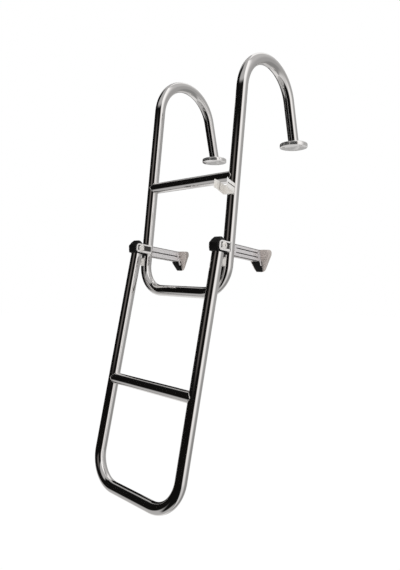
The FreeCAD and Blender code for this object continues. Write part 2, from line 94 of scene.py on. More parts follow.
MM = 0.001
LEG_Y = HOOK_BEND * (1 - math.cos(HOOK_TURN)) + HOOK_LEG * math.sin(HOOK_TURN)
LEG_Z = RAIL_TOP + HOOK_BEND * math.sin(HOOK_TURN) + HOOK_LEG * math.cos(HOOK_TURN)
LEAN_MATRIX = Matrix.Rotation(-LEAN, 4, "X")
DECK_UP = LEAN_MATRIX.inverted() @ Z
FOOT_CENTRE = Vector((HALF, LEG_Y, LEG_Z)) - DECK_UP * FOOT_THICK
SCALE = Matrix.Scale(MM, 4)
UPPER_FRAME = SCALE @ LEAN_MATRIX @ Matrix.Translation(-FOOT_CENTRE)
LOWER_FRAME = UPPER_FRAME @ shift(0, PIN_Y, PIN_Z) @ Matrix.Rotation(-SPLAY, 4, "X")
LOWER_RAILS = LOWER_FRAME @ shift(0, SETBACK, 0)
MIRROR = Matrix.Scale(-1, 4, X)


# Meshes

def make_object(name, bm, matrix, surfaces, body, crease, replaces=()):
    """A piece from a mesh in millimetres. Edges that bend more than crease degrees stay sharp."""
    bmesh.ops.recalc_face_normals(bm, faces=bm.faces)
    mesh = bpy.data.meshes.new(name)
    bm.to_mesh(mesh)
    bm.free()
    mesh.transform(matrix)
    mesh.shade_smooth()
    mesh.set_sharp_from_angle(angle=math.radians(crease))
    for surface in surfaces:
        mesh.materials.append(surface)
    piece = bpy.data.objects.new(name, mesh)
    bpy.context.scene.collection.objects.link(piece)
    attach(piece, body)
    if replaces:
        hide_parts(*replaces)


def circle(count):
    """Cosine and sine at equal steps around a full turn."""
    turns = [FULL_TURN * k / count for k in range(count)]
    return [(math.cos(turn), math.sin(turn)) for turn in turns]


def quarter(steps):
    """Cosine and sine at equal steps from nought to a quarter turn."""
    turns = [QUARTER_TURN * k / steps for k in range(steps + 1)]
    return [(math.cos(turn), math.sin(turn)) for turn in turns]


def ring_about(centre, side, up, radius, count):
    return [centre + (side * c + up * s) * radius for c, s in circle(count)]


def bridge(bm, first, second):
    """Faces between two rings of as many points."""
    count = len(first)
    for i in range(count):
        j = (i + 1) % count
        bm.faces.new((first[i], first[j], second[j], second[i]))


def skinned(rings):
    """A solid through a row of rings, with a flat face at each end."""
    bm = bmesh.new()
    loops = [[bm.verts.new(p) for p in ring] for ring in rings]
    for first, second in zip(loops, loops[1:]):
        bridge(bm, first, second)
    bm.faces.new(loops[0])
    bm.faces.new(loops[-1])
    return bm


def tube_rings(points):
    """Rings of the tube's size along a line of points, kept from twisting."""
    last = len(points) - 1
    side = None
    rings = []
    for i, point in enumerate(points):
        tangent = (points[min(i + 1, last)] - points[max(i - 1, 0)]).normalized()
        if side is None:
            side = tangent.orthogonal().normalized()
        side = (side - tangent * side.dot(tangent)).normalized()
        rings.append(ring_about(point, side, tangent.cross(side), TUBE_R, TUBE_SIDES))
    return rings


def arc(centre, start, end, first, last, steps):
    """Points from a first to a last angle. Angles count from the arm start towards the arm end."""
    angles = [first + (last - first) * i / steps for i in range(steps + 1)]
    return [centre + start * math.cos(angle) + end * math.sin(angle) for angle in angles]


def between(start, end, shares=(0.33, 0.67)):
    return [start + (end - start) * share for share in shares]


def rectangle(left, low, right, top):
    return [(left, low), (right, low), (right, top), (left, top)]


def hexagon(radius):
    turns = [math.radians(60 * k) for k in range(6)]
    return [(radius * math.cos(turn), radius * math.sin(turn)) for turn in turns]


SMALLEST_ROUND = 0.12


def rounded(corners, radii, inset, steps):
    """A closed outline with rounded corners, moved inwards by inset. Corners run anticlockwise."""
    count = len(corners)
    points = [Vector(corner) for corner in corners]
    if isinstance(radii, float):
        radii = [radii] * count
    sides = []
    for i in range(count):
        along = (points[(i + 1) % count] - points[i]).normalized()
        inward = Vector((-along.y, along.x))
        sides.append((points[i] + inward * inset, along))
    outline = []
    for i in range(count):
        last, before = sides[i - 1]
        this, after = sides[i]
        gap = this - last
        cross = before.x * after.y - before.y * after.x
        corner = last + before * ((gap.x * after.y - gap.y * after.x) / cross)
        bulge = 1 if cross > 0 else -1
        radius = max(radii[i] - inset, SMALLEST_ROUND) if bulge > 0 else radii[i] + inset
        turn = math.atan2(abs(cross), before.dot(after))
        inward = Vector((-before.y, before.x)) * bulge
        centre = corner - before * (radius * math.tan(turn / 2)) + inward * radius
        start = -inward
        for k in range(steps + 1):
            angle = turn * k / steps * bulge
            c, s = math.cos(angle), math.sin(angle)
            spoke = Vector((start.x * c - start.y * s, start.x * s + start.y * c))
            outline.append(centre + spoke * radius)
    return outline


def edge_profile(height, edge, steps=3, start=0.0):
    """Inset and height pairs of a block whose edges are rounded at both ends."""
    top = start + height
    rows = [(edge * (1 - s), start + edge * (1 - c)) for c, s in quarter(steps)]
    rows += [(edge * (1 - c), top - edge * (1 - s)) for c, s in quarter(steps)]
    return rows


def flat(x, y, height):
    """Places an outline in the plane of x and y."""
    return Vector((x, y, height))


def upright(y, z, height):
    """Places an outline in the plane of y and z, with its heights along x."""
    return Vector((height, y, z))


def layered(corners, radii, rows, place, steps):
    """A solid from one rounded outline repeated at several insets and heights."""
    rings = []
    for inset, height in rows:
        rings.append([place(p.x, p.y, height) for p in rounded(corners, radii, inset, steps)])
    return skinned(rings)


def turned(profile, around):
    """A solid of revolution about z from radius and height pairs, closed at both ends."""
    rings = []
    for radius, height in profile:
        rings.append([Vector((radius * c, radius * s, height)) for c, s in circle(around)])
    return skinned(rings)


BEAD_SIDES = 10
BEAD_RIPPLES = 30
BEAD_SWELL = 0.13


def nearest(ring, spot):
    return min(range(len(ring)), key=lambda i: (ring[i] - spot).length)


def bead(points, radius):
    """A weld bead along a closed line of points, with the ripples of a hand-fed rod."""
    count = len(points)
    rings = []
    for i, point in enumerate(points):
        tangent = (points[(i + 1) % count] - points[i - 1]).normalized()
        side = tangent.orthogonal().normalized()
        phase = (i / count * BEAD_RIPPLES) % 1.0
        swollen = radius * (1 + BEAD_SWELL * (abs(phase - 0.5) * 2 - 0.5))
        ring = ring_about(point, side, tangent.cross(side), swollen, BEAD_SIDES)
        start = nearest(ring, rings[-1][0]) if rings else 0
        rings.append(ring[start:] + ring[:start])
    start = nearest(rings[0], rings[-1][0])
    bm = bmesh.new()
    loops = [[bm.verts.new(p) for p in ring] for ring in rings]
    for first, second in zip(loops, loops[1:]):
        bridge(bm, first, second)
    bridge(bm, loops[-1], loops[0][start:] + loops[0][:start])
    return bm


def joined(*parts):
    """One mesh out of several, each given as a mesh and a matrix."""
    whole = bmesh.new()
    for part, matrix in parts:
        bmesh.ops.recalc_face_normals(part, faces=part.faces)
        part.transform(matrix)
        scratch = bpy.data.meshes.new("scratch")
        part.to_mesh(scratch)
        part.free()
        whole.from_mesh(scratch)
        bpy.data.meshes.remove(scratch)
    return whole


def cut_away(bm, cutter):
    """The first mesh less the second."""
    helpers = []
    for part in (bm, cutter):
        bmesh.ops.recalc_face_normals(part, faces=part.faces)
        mesh = bpy.data.meshes.new("scratch")
        part.to_mesh(mesh)
        part.free()
        helper = bpy.data.objects.new("scratch", mesh)
        bpy.context.scene.collection.objects.link(helper)
        helpers.append(helper)
    body, tool = helpers
    modifier = body.modifiers.new("cut", "BOOLEAN")
    modifier.operation = "DIFFERENCE"
    modifier.solver = "EXACT"
    modifier.object = tool
    bpy.context.view_layer.update()
    result = bmesh.new()
    result.from_object(body, bpy.context.evaluated_depsgraph_get())
    for helper in helpers:
        mesh = helper.data
        bpy.data.objects.remove(helper)
        bpy.data.meshes.remove(mesh)
    return result


def handed(bm, side):
    """A mesh made for the right, as it is for the right and mirrored for the left."""
    if side < 0:
        bm.transform(MIRROR)
        bmesh.ops.reverse_faces(bm, faces=bm.faces)
    return bm


def facing(side):
    """Turns z to +x or -x."""
    return Matrix.Rotation(side * QUARTER_TURN, 4, "Y")


# Places in a piece's list of surfaces, after the main one: painted shade, then a painted dark
# reflection on rounded edges

SHADED = 1
RIM_REFLECTION_SLOT = 2


def paint(bm, surface, chosen):
    """Gives another surface of the piece to the faces whose centre is chosen."""
    for face in bm.faces:
        if chosen(face.calc_center_median()):
            face.material_index = surface


# Materials

def new_material(name):
    """An empty node material with one shader."""
    material = bpy.data.materials.new(name)
    material.use_nodes = True
    tree = material.node_tree
    tree.nodes.clear()
    output = tree.nodes.new("ShaderNodeOutputMaterial")
    shader = tree.nodes.new("ShaderNodeBsdfPrincipled")
    tree.links.new(shader.outputs["BSDF"], output.inputs["Surface"])
    return material, tree, shader


def add_noise(tree, scale, detail, stretch=None):
    source = tree.nodes.new("ShaderNodeTexCoord").outputs["Object"]
    if stretch:
        mapping = tree.nodes.new("ShaderNodeMapping")
        mapping.inputs["Scale"].default_value = stretch
        tree.links.new(source, mapping.inputs["Vector"])
        source = mapping.outputs["Vector"]
    noise = tree.nodes.new("ShaderNodeTexNoise")
    noise.inputs["Scale"].default_value = scale
    noise.inputs["Detail"].default_value = detail
    tree.links.new(source, noise.inputs["Vector"])
    return noise.outputs["Fac"]


def ramp(tree, source, span, values=(0.0, 1.0)):
    """Values in a straight line from the start to the end of a span, and level outside it."""
    node = tree.nodes.new("ShaderNodeMapRange")
    node.inputs["From Min"].default_value = span[0]
    node.inputs["From Max"].default_value = span[1]
    node.inputs["To Min"].default_value = values[0]
    node.inputs["To Max"].default_value = values[1]
    tree.links.new(source, node.inputs["Value"])
    return node.outputs["Result"]


# Sockets of the mix node for colours, taken by number because its other kinds share their names

MIX_FACTOR = 0
MIX_FIRST = 6
MIX_SECOND = 7
MIX_RESULT = 2


def mix_colours(tree, factor, first, second):
    mix = tree.nodes.new("ShaderNodeMix")
    mix.data_type = "RGBA"
    mix.inputs[MIX_FIRST].default_value = (*first, 1)
    mix.inputs[MIX_SECOND].default_value = (*second, 1)
    tree.links.new(factor, mix.inputs[MIX_FACTOR])
    return mix.outputs[MIX_RESULT]


def bump(tree, shader, height, strength, distance):
    node = tree.nodes.new("ShaderNodeBump")
    node.inputs["Strength"].default_value = strength
    node.inputs["Distance"].default_value = distance
    tree.links.new(height, node.inputs["Height"])
    tree.links.new(node.outputs["Normal"], shader.inputs["Normal"])


# Noises as scale, detail and, where one is drawn out, its stretch, then the spans they are used over

STEEL_CLOUDS = (14.0, 5.0)
STEEL_TONES = (0.35, 0.7)
STEEL_SMEARS = (45.0, 6.0, (1.0, 1.0, 0.35))
STEEL_ROUGHS = (0.3, 0.75)
STEEL_GRAIN = (900.0, 2.0)
STEEL_GRAIN_DEEP = 0.0001
SATIN_CLOUDS = (30.0, 4.0)
SATIN_TONES = (0.35, 0.75)
SATIN_ROUGHS = (0.3, 0.7)
SATIN_GAIN = 1.9
SATIN_LIFT = 0.004
SATIN_LIMIT = 0.9
SATIN_GRAIN_DETAIL = 3.0
SATIN_GRAIN_DEEP = 0.0002


def steel(name, bright, dull, rough, stretch, grain, metallic):
    """Polished steel: soft clouds of two tones, smears in its roughness and a fine grain."""
    material, tree, shader = new_material(name)
    shader.inputs["Metallic"].default_value = metallic
    tone = ramp(tree, add_noise(tree, *STEEL_CLOUDS), STEEL_TONES)
    tree.links.new(mix_colours(tree, tone, bright, dull), shader.inputs["Base Color"])
    smears = add_noise(tree, *STEEL_SMEARS)
    tree.links.new(ramp(tree, smears, STEEL_ROUGHS, rough), shader.inputs["Roughness"])
    bump(tree, shader, add_noise(tree, *STEEL_GRAIN, stretch), grain, STEEL_GRAIN_DEEP)
    return material


def satin(name, colour, rough, grain_scale, grain, shine=0.5):
    """Moulded nylon or rubber: one colour with lighter clouds and a fine even grain."""
    material, tree, shader = new_material(name)
    shader.inputs["Specular IOR Level"].default_value = shine
    clouds = add_noise(tree, *SATIN_CLOUDS)
    lighter = [min(part * SATIN_GAIN + SATIN_LIFT, SATIN_LIMIT) for part in colour]
    tone = ramp(tree, clouds, SATIN_TONES)
    tree.links.new(mix_colours(tree, tone, colour, lighter), shader.inputs["Base Color"])
    tree.links.new(ramp(tree, clouds, SATIN_ROUGHS, rough), shader.inputs["Roughness"])
    bump(tree, shader, add_noise(tree, grain_scale, SATIN_GRAIN_DETAIL), grain, SATIN_GRAIN_DEEP)
    return material


# The stretch of the grain, by the way it runs

ALONG_RAILS = (1.0, 1.0, 0.02)
ACROSS = (0.05, 1.0, 1.0)
EVEN = (1.0, 1.0, 1.0)

TUBE_STEEL = steel(
    "tube_steel", bright=(0.80, 0.79, 0.78), dull=(0.77, 0.76, 0.755), rough=(0.025, 0.05),
    stretch=ALONG_RAILS, grain=0.003, metallic=1.0)
PLATE_STEEL = steel(
    "plate_steel", bright=(0.92, 0.90, 0.90), dull=(0.84, 0.81, 0.82), rough=(0.12, 0.20),
    stretch=ACROSS, grain=0.02, metallic=0.5)
EDGE_STEEL = steel(
    "edge_steel", bright=(0.97, 0.95, 0.93), dull=(0.90, 0.87, 0.85), rough=(0.12, 0.20),
    stretch=EVEN, grain=0.01, metallic=0.3)
# Dark steel that paints shade into sunk fields, pressed lines and gaps
PAINTED_SHADE_STEEL = steel(
    "painted_shade_steel", bright=(0.09, 0.085, 0.08), dull=(0.05, 0.045, 0.045), rough=(0.20, 0.32),
    stretch=ACROSS, grain=0.02, metallic=0.6)
# Darker steel that paints a dark reflection on the arms' rounded edges
PAINTED_RIM_REFLECTION_STEEL = steel(
    "painted_rim_reflection_steel", bright=(0.26, 0.25, 0.24), dull=(0.20, 0.19, 0.185), rough=(0.20, 0.32),
    stretch=ACROSS, grain=0.01, metallic=0.5)
BOLT_STEEL = steel(
    "bolt_steel", bright=(0.96, 0.93, 0.90), dull=(0.88, 0.85, 0.81), rough=(0.10, 0.18),
    stretch=EVEN, grain=0.01, metallic=0.4)
FOOT_STEEL = steel(
    "foot_steel", bright=(0.90, 0.89, 0.88), dull=(0.84, 0.83, 0.82), rough=(0.05, 0.09),
    stretch=EVEN, grain=0.01, metallic=0.9)
PAD_STEEL = steel(
    "pad_steel", bright=(0.74, 0.67, 0.63), dull=(0.66, 0.59, 0.55), rough=(0.22, 0.34),
    stretch=ACROSS, grain=0.004, metallic=0.4)
WELD_STEEL = steel(
    "weld_steel", bright=(0.90, 0.88, 0.86), dull=(0.78, 0.75, 0.72), rough=(0.10, 0.20),
    stretch=EVEN, grain=0.03, metallic=0.95)
NYLON = satin(
    "black_nylon", (0.003, 0.003, 0.003), rough=(0.30, 0.44), grain_scale=700.0, grain=0.12, shine=0.22)
RUBBER = satin(
    "wedge_rubber", (0.002, 0.002, 0.002), rough=(0.45, 0.68), grain_scale=500.0, grain=0.2, shine=0.12)
CUSHION = satin("pad_rubber", (0.30, 0.27, 0.25), rough=(0.5, 0.7), grain_scale=500.0, grain=0.2)
IVORY = satin("ivory_nylon", (0.80, 0.765, 0.715), rough=(0.32, 0.46), grain_scale=500.0, grain=0.1)
# Dark nylon that paints shade into the clip's moulded lines
CLIP_PAINTED_SHADE = satin("painted_shade_nylon", (0.05, 0.04, 0.03), rough=(0.4, 0.6), grain_scale=500.0, grain=0.1)

# Tubes

HOOK_STEPS = 88
BEND_STEPS = 52
LEG_SHARES = (0.34, 0.67)
LEG_SUNK = 0.6
TUBE_CREASE = 40


def hook_points(side):
    """From the deck foot along the leg and over the hook to the rail's top."""
    x = side * HALF
    centre = Vector((x, HOOK_BEND, RAIL_TOP))
    bend = arc(centre, -Y * HOOK_BEND, Z * HOOK_BEND, HOOK_TURN, 0.0, HOOK_STEPS)
    foot = Vector((x, LEG_Y, LEG_Z))
    return [foot] + between(foot, bend[0], LEG_SHARES) + bend


def step_points(top, low, bend):
    """Down the right rail, through the step and up the left rail."""
    centre = Vector((HALF - bend, 0, low + bend))
    right = arc(centre, X * bend, -Z * bend, 0.0, QUARTER_TURN, BEND_STEPS)
    centre = Vector((bend - HALF, 0, low + bend))
    left = arc(centre, -Z * bend, -X * bend, 0.0, QUARTER_TURN, BEND_STEPS)
    right_top = Vector((HALF, 0, top))
    left_top = Vector((-HALF, 0, top))
    points = [right_top] + between(right_top, right[0]) + right + between(right[-1], left[0])
    return points + left + between(left[-1], left_top) + [left_top]


def cut_to_deck(ring, along):
    """Slides a leg's last ring along the leg, to end level just inside the foot."""
    along = along.normalized()
    end = FOOT_CENTRE + DECK_UP * (FOOT_THICK - LEG_SUNK)
    return [p - along * ((p - end).dot(DECK_UP) / along.dot(DECK_UP)) for p in ring]


path = hook_points(1)[:-1] + step_points(RAIL_TOP, 0.0, UPPER_BEND) + hook_points(-1)[-2::-1]
rings = tube_rings(path)
rings[0] = cut_to_deck(rings[0], path[1] - path[0])
rings[-1] = cut_to_deck(rings[-1], path[-2] - path[-1])
make_object(
    "upper_tube", skinned(rings), UPPER_FRAME, (TUBE_STEEL,), UPPER, TUBE_CREASE,
    ["upper_frame_tube"])

rings = tube_rings(step_points(LOWER_TOP, LOWER_STEP, LOWER_BEND))
make_object(
    "lower_tube", skinned(rings), LOWER_RAILS, (TUBE_STEEL,), LOWER, TUBE_CREASE,
    ["lower_frame_tube"])

# Rungs between the rails, with a weld bead around each end

RUNG_SHARES = (-1.0, -0.5, 0.0, 0.5, 1.0)
RUNG_OVERLAP = 0.3
WELD_POINTS = 120
WELD_CREASE = 60
RUNG_WELD_R = 0.9
RUNG_WELD_OUT = 0.2
RUNG_WELD_SWELL = 1.01
RUNG_WELD_SQUEEZE = 0.995


def tube_face(offset):
    """How far the tube's surface is from its middle plane, at an offset from its axis."""
    return math.sqrt(max(TUBE_R ** 2 - offset ** 2, 0.0))


def rung_mesh():
    rings = []
    for share in RUNG_SHARES:
        ring = []
        for c, s in circle(TUBE_SIDES):
            y, z = TUBE_R * c, TUBE_R * s
            ring.append(Vector((share * (HALF - tube_face(y) + RUNG_OVERLAP), y, z)))
        rings.append(ring)
    return skinned(rings)


def rung_welds():
    parts = []
    for side in (-1, 1):
        line = []
        for c, s in circle(WELD_POINTS):
            y, z = TUBE_R * c * RUNG_WELD_SQUEEZE, TUBE_R * s
            edge = HALF - tube_face(y) - RUNG_WELD_OUT
            line.append(Vector((side * edge, y * RUNG_WELD_SWELL, z * RUNG_WELD_SWELL)))
        parts.append((bead(line, RUNG_WELD_R), Matrix()))
    return joined(*parts)


for name, matrix, body in (
    ("upper_rung", UPPER_FRAME @ shift(z=UPPER_RUNG), UPPER),
    ("lower_rung", LOWER_RAILS @ shift(z=LOWER_RUNG), LOWER),
):
    make_object(name + "_tube", rung_mesh(), matrix, (TUBE_STEEL,), body, TUBE_CREASE, [name])
    make_object(name + "_welds", rung_welds(), matrix, (WELD_STEEL,), body, WELD_CREASE)

# Deck feet, with countersunk screws and a weld around the leg

FITTING_CREASE = 32
ROUND_SIDES = 40
DISC_SIDES = 96
EDGE_STEPS = 8
PAST = 2.0
FOOT_EDGE = 2.6
FOOT_LOW_EDGE = [(FOOT_R - 0.8, 0.0), (FOOT_R - 0.25, 0.2), (FOOT_R, 0.8)]
FOOT_FLAT_R = 16.0
SCREW_RING = 21.75
SCREW_TURNS = tuple(math.radians(225.0 + 120.0 * k) for k in range(3))
SCREW_SUNK = 0.1
SCREW_TWIST = 1.4
HOLE_PROFILE = [(2.75, -PAST), (2.75, 5.7), (5.0, FOOT_THICK + 0.05), (5.0, FOOT_THICK + PAST)]
DOME_R = 4.75
DOME_FOOT = 0.15
DOME_RISE = 1.7
DOME_TIP_R = 0.4
SHANK_PROFILE = [(2.3, -6.6), (2.3, -2.5), (4.7, 0.0), (DOME_R, DOME_FOOT)]
RECESS = rectangle(-2.2, -0.55, 2.2, 0.55)
RECESS_ROUND = 0.2
RECESS_ROWS = [(0.4, -1.1), (0.0, 0.0), (0.0, 3.0)]
FOOT_WELD_R = 1.0
FOOT_WELD_SWELL = 1.02
FOOT_WELD_RISE = 0.3


def on_screw_ring(turn, z):
    return shift(SCREW_RING * math.cos(turn), SCREW_RING * math.sin(turn), z)


def foot_mesh():
    core_r, core_top = FOOT_R - FOOT_EDGE, FOOT_THICK - FOOT_EDGE
    edge = [(core_r + FOOT_EDGE * c, core_top + FOOT_EDGE * s) for c, s in quarter(EDGE_STEPS)]
    disc = turned(FOOT_LOW_EDGE + edge + [(FOOT_FLAT_R, FOOT_THICK)], DISC_SIDES)
    for turn in SCREW_TURNS:
        hole = turned(HOLE_PROFILE, ROUND_SIDES)
        hole.transform(on_screw_ring(turn, 0.0))
        disc = cut_away(disc, hole)
    return disc


def raised_screw():
    """A raised countersunk head with a cross recess, on its shank. The head's underside is at z 0."""
    dome = [(DOME_R * c, DOME_FOOT + DOME_RISE * s) for c, s in quarter(EDGE_STEPS)[1:-1]]
    dome.append((DOME_TIP_R, DOME_FOOT + DOME_RISE))
    screw = turned(SHANK_PROFILE + dome, ROUND_SIDES)
    for turn in (0.0, QUARTER_TURN):
        tool = layered(RECESS, RECESS_ROUND, RECESS_ROWS, flat, steps=2)
        tool.transform(shift(z=DOME_RISE) @ Matrix.Rotation(turn, 4, "Z"))
        screw = cut_away(screw, tool)
    return screw


def foot_weld():
    leg_slant = math.pi - HOOK_TURN - LEAN
    line = []
    for c, s in circle(WELD_POINTS):
        x, y = TUBE_R * c, TUBE_R * s / math.cos(leg_slant)
        line.append(Vector((x * FOOT_WELD_SWELL, y * FOOT_WELD_SWELL, FOOT_THICK + FOOT_WELD_RISE)))
    return bead(line, FOOT_WELD_R)


for side, hand in SIDES:
    base = SCALE @ shift(side * HALF - HALF)
    make_object(
        "foot_plate_" + hand, foot_mesh(), base, (FOOT_STEEL,), UPPER, FITTING_CREASE,
        ["deck_foot_" + hand])
    screws = []
    for turn in SCREW_TURNS:
        spin = Matrix.Rotation(SCREW_TWIST * turn, 4, "Z")
        screws.append((raised_screw(), on_screw_ring(turn, FOOT_THICK - SCREW_SUNK) @ spin))
    make_object(
        "foot_screws_" + hand, joined(*screws), base, (BOLT_STEEL,), UPPER, FITTING_CREASE)
    make_object("foot_weld_" + hand, foot_weld(), base, (WELD_STEEL,), UPPER, WELD_CREASE)

# Hinge plates and bolts

HINGE_CREASE = 35
CHEEK_DEPTH = 18.0
CHEEK_NOSE = PIN_Y - 11.0
CHEEK_CUT = 4.0
CHEEK_RADII = [3.0, 3.0, 1.2, 1.2, 3.0, 3.0]
CHEEK_SKIN = 2.5
CHEEK_EDGE = 0.4
CHEEK_DISH = 1.3
FIELD_FRONT = 2.4
FIELD_BACK = 1.6
FIELD_TOP = 3.0
FIELD_FOOT = 4.2
FIELD_ROUND = 1.6
FIELD_TAPER = 0.5
SLACK = 0.1
FINE_SLACK = 0.05
CHEEK_INNER = TUBE_R + 0.1
CHEEK_TAIL_OUT = -10.0
CHEEK_TAIL_IN = -1.0
FLANGE_WIDE = 5.0
FLANGE = rectangle(-12.5, -CHEEK_DEPTH / 2, -10.1, CHEEK_DEPTH / 2)
FLANGE_ROUND = 0.4
BOLT_SUNK = 1.2
BOLT_R = 4.0
BOLT_CHAMFER = 0.4
NUT_R = 6.9
NUT_ROUND = 0.3
NUT_ROWS = [(0.5, 0.0), (0.0, 0.5), (0.0, 3.4), (0.6, 3.8), (1.6, 4.0)]
COLLAR_PROFILE = [(5.3, 3.6), (5.3, 4.1), (4.9, 4.5), (3.6, 4.5), (3.4, 3.4)]
HEAD_SIDES = 48
HEAD_CORE_R = 3.6
HEAD_ROUND = 3.1
HEAD_RISE = 3.5
HEAD_LIP = 0.9
SOCKET_R = 2.6
SOCKET_ROUND = 0.15
SOCKET_ROWS = [(0.0, 2.0), (0.0, 6.0)]


def cheek_mesh(tail):
    """A plate in the plane of y and z, its back at x 0, with a sunk field of the second surface, a dark
    steel that paints the shade in the field.
    """
    high = CHEEK_DEPTH / 2
    corners = [
        (CHEEK_NOSE, CHEEK_CUT - high), (CHEEK_NOSE + CHEEK_CUT, -high), (tail, -high), (tail, high),
        (CHEEK_NOSE + CHEEK_CUT, high), (CHEEK_NOSE, high - CHEEK_CUT),
    ]
    plate = layered(corners, CHEEK_RADII, edge_profile(CHEEK_SKIN, CHEEK_EDGE), upright, steps=4)
    left, right = CHEEK_NOSE + FIELD_FRONT, tail - FIELD_BACK
    low, top = FIELD_FOOT - high, high - FIELD_TOP
    floor_x = CHEEK_SKIN - CHEEK_DISH
    rows = [(FIELD_TAPER, floor_x), (0.0, CHEEK_SKIN), (0.0, CHEEK_SKIN + PAST)]
    tool = layered(rectangle(left, low, right, top), FIELD_ROUND, rows, upright, steps=4)
    plate = cut_away(plate, tool)

    def sunk(spot):
        across = left - SLACK < spot.y < right + SLACK and low - SLACK < spot.z < top + SLACK
        return across and floor_x - FINE_SLACK < spot.x < CHEEK_SKIN - 2 * SLACK

    # Painted shade: the sunk field's faces get the dark steel.
    paint(plate, SHADED, sunk)
    return plate


def flange_mesh():
    """The strip that joins a cheek to the rail."""
    rows = edge_profile(CHEEK_SKIN + FLANGE_WIDE, CHEEK_EDGE)
    return layered(FLANGE, FLANGE_ROUND, rows, upright, steps=2)


def hex_nut():
    nut = layered(hexagon(NUT_R), NUT_ROUND, NUT_ROWS, flat, steps=2)
    return joined((nut, Matrix()), (turned(COLLAR_PROFILE, ROUND_SIDES), Matrix()))


def bolt_head():
    """A round head with a six-sided socket, its seat at z 0."""
    rim = HEAD_CORE_R + HEAD_ROUND
    profile = [(BOLT_R, -1.0), (rim, 0.0), (rim, HEAD_LIP)]
    for c, s in quarter(EDGE_STEPS)[1:]:
        profile.append((HEAD_CORE_R + HEAD_ROUND * c, HEAD_LIP + HEAD_RISE * s))
    socket = layered(hexagon(SOCKET_R), SOCKET_ROUND, SOCKET_ROWS, flat, steps=2)
    return cut_away(turned(profile, HEAD_SIDES), socket)


def hinge_bolt(side):
    """Bolt, nut and shank along x, with the head on the outer side."""
    seat = CHEEK_INNER + CHEEK_SKIN - BOLT_SUNK
    end = BOLT_R - BOLT_CHAMFER
    straight = seat - BOLT_CHAMFER
    profile = [(end, -seat), (BOLT_R, -straight), (BOLT_R, straight), (end, seat)]
    return joined(
        (bolt_head(), shift(side * seat) @ facing(side)),
        (hex_nut(), shift(-side * seat) @ facing(-side)),
        (turned(profile, ROUND_SIDES), facing(1)))


for side, hand in SIDES:
    plates = []
    for towards, tail in ((side, CHEEK_TAIL_OUT), (-side, CHEEK_TAIL_IN)):
        plates.append((handed(cheek_mesh(tail), towards), shift(towards * CHEEK_INNER)))
    plates.append((handed(flange_mesh(), side), shift(side * (CHEEK_INNER - FLANGE_WIDE))))
    # The second surface paints shade in the cheeks' sunk fields.
    make_object(
        "hinge_plates_" + hand, joined(*plates), UPPER_FRAME @ shift(side * HALF, 0, PIN_Z),
        (EDGE_STEEL, PAINTED_SHADE_STEEL), UPPER, HINGE_CREASE, ["hinge_cheeks_" + hand])
    make_object(
        "hinge_bolt_" + hand, hinge_bolt(side), UPPER_FRAME @ shift(side * HALF, PIN_Y, PIN_Z),
        (BOLT_STEEL,), UPPER, FITTING_CREASE, ["hinge_pin_" + hand])

# Caps of the lower rails

CAP_HALF = TUBE_R - 0.4
CAP = [
    (10.5, LOWER_TOP), (10.5, 4.2), (3.7, 13.2), (-1.0, 16.0), (-6.4, 15.2), (-15.2, 1.5),
    (-11.2, LOWER_TOP),
]
CAP_RADII = [0.8, 2.5, 3.5, 2.5, 2.5, 2.0, 1.2]
CAP_EDGE = 1.3
CAP_RIDGE = 6.5
CAP_SHOULDER = 7.0
CAP_HIGH = 16.0
CAP_BORE_R = 4.08
BORE_REACH = 20.0
CUTTER_REACH = 30.0
CUTTER_LENGTH = 40.0


def shoulder_cutter(side):
    """A block that slopes one side of a cap's top."""
    corners = [
        (CAP_RIDGE, CAP_HIGH), (TUBE_R, CAP_SHOULDER), (CUTTER_REACH, CAP_SHOULDER),
        (CUTTER_REACH, CUTTER_REACH), (CAP_RIDGE, CUTTER_REACH),
    ]
    ends = (-CUTTER_LENGTH, CUTTER_LENGTH)
    return skinned([[Vector((side * x, y, z)) for x, z in corners] for y in ends])


def cap_mesh():
    rows = edge_profile(2 * CAP_HALF, CAP_EDGE, steps=4, start=-CAP_HALF)
    cap = layered(CAP, CAP_RADII, rows, upright, steps=4)
    bore = turned([(CAP_BORE_R, -BORE_REACH), (CAP_BORE_R, BORE_REACH)], ROUND_SIDES)
    bore.transform(facing(1))
    for tool in (shoulder_cutter(1), shoulder_cutter(-1), bore):
        cap = cut_away(cap, tool)
    return cap


for side, hand in SIDES:
    make_object(
        "rail_cap_" + hand, cap_mesh(), LOWER_FRAME @ shift(side * HALF), (NYLON,), LOWER,
        HINGE_CREASE, ["hinge_cap_" + hand])

# Stand-off arms

SLANT = math.radians(13.0)
ARM_Z = 82.5
ARM_HIGH = 24.0
ARM_WIDE = 14.0
ARM_SKIN = 2.0
ARM_LIP = 11.0
ARM_RADII = [3.0, 3.0, 3.0, 0.6, 0.6, 1.0, 1.0, 1.0, 1.0, 0.6, 0.6, 3.0]
ARM_OVERLAP = 0.3
ARM_REACH = TUBE_R + 77.0
END_SLOPE = math.tan(SLANT + LEAN)
LINE_START = 3.0
LINE_END = 72.0
LINE_HIGH = 1.9
LINE_DEEP = 1.2
LINE_ROUND = 0.9
LINE_TAPER = 0.3
LINE_RISES = (4.6, -3.6)
LINE_FIELD = 6.0
LIP_GAP_HALF = 1.1
# Where the rounded edges with the painted dark reflection begin, as |x| plus |z|
ARM_PAINTED_RIM = 16.6


